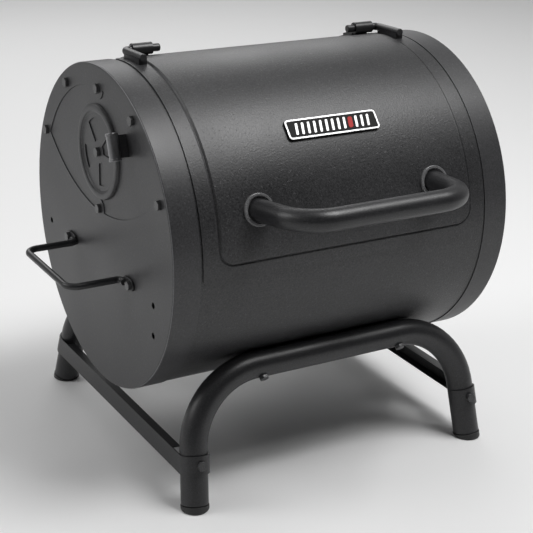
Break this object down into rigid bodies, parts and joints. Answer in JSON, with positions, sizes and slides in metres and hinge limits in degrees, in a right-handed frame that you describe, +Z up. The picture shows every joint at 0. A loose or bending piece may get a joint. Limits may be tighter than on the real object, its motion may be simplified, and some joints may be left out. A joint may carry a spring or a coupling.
{
  "type": "barrel charcoal grill",
  "caption": "Table-top barrel charcoal grill with a curved hinged lid, tubular lid handle, turning air damper, carry handles and a bent-tube stand.",
  "frame": {"origin": "centre of the bounding box on the table plane under the feet", "axes": "+X along the drum towards the plain end, -Y towards the front (lid handle), +Z up"},
  "size_m": [0.584, 0.4809, 0.4824],
  "materials": {
    "drum_paint": "satin, fine speckle",
    "cap_paint": "flat",
    "lid_paint": "satin, fine speckle",
    "tube_paint": "satin",
    "rail_paint": "satin",
    "rod_paint": "satin",
    "gunmetal": "dark, polished",
    "fastener": "black oxide",
    "inner_steel": "flat",
    "grate_chrome": "bright",
    "coal_steel": "dull",
    "foot_plastic": "matte",
    "plate_metal": "polished rim, black field"
  },
  "bodies": {
    "base": {"barrel_shell": "drum_paint", "left_end_cap": "cap_paint", "right_end_cap": "cap_paint", "cover_plate": "cap_paint", "cover_plate_bolts": "fastener", "cover_plate_nuts": "fastener", "damper_pivot_bolt": "fastener", "damper_pivot_nut": "fastener", "left_carry_handle": "rod_paint", "right_carry_handle": "rod_paint", "carry_handle_bolts": "fastener", "carry_handle_nuts": "fastener", "left_grate_rest": "inner_steel", "right_grate_rest": "inner_steel", "front_leg_frame": "tube_paint", "rear_leg_frame": "tube_paint", "foot_front_left": "foot_plastic", "foot_front_right": "foot_plastic", "foot_rear_left": "foot_plastic", "foot_rear_right": "foot_plastic", "leg_bolts": "fastener", "leg_nuts": "fastener", "left_stretcher": "rail_paint", "right_stretcher": "rail_paint", "stretcher_bolts": "fastener", "stretcher_nuts": "fastener", "left_hinge_bracket": "rod_paint", "right_hinge_bracket": "rod_paint", "hinge_bracket_bolts": "fastener", "hinge_bracket_nuts": "fastener"},
    "lid": {"lid_shell": "lid_paint", "lid_handle": "tube_paint", "lid_handle_plugs": "fastener", "left_handle_collar": "lid_paint", "right_handle_collar": "lid_paint", "lid_handle_bolts": "fastener", "lid_handle_washers": "fastener", "name_plate": "plate_metal", "name_plate_clips": "fastener", "left_hinge_arm": "rod_paint", "right_hinge_arm": "rod_paint", "left_hinge_saddle": "rod_paint", "right_hinge_saddle": "rod_paint", "hinge_screws": "fastener"},
    "damper": {"damper_disc": "cap_paint", "damper_grip": "gunmetal"},
    "cooking_grate_body": {"cooking_grate": "grate_chrome"},
    "charcoal_grate_body": {"charcoal_grate": "coal_steel"}
  },
  "joints": [
    {"name": "lid_hinge", "type": "hinge", "parent": "base", "child": "lid", "pos_m": [0, 0.0677, 0.47539], "axis": [-1, 0, 0], "range_deg": [0, 130]},
    {"name": "damper_turn", "type": "hinge", "parent": "base", "child": "damper", "pos_m": [-0.221, 0.03325, 0.3705], "axis": [1, 0, 0], "range_deg": [0, 45]},
    {"name": "cooking_grate_lift", "type": "slide", "parent": "base", "child": "cooking_grate_body", "axis": [0, 0, 1], "range_m": [0, 0.03]},
    {"name": "charcoal_grate_lift", "type": "slide", "parent": "base", "child": "charcoal_grate_body", "axis": [0, 0, 1], "range_m": [0, 0.04]}
  ]
}
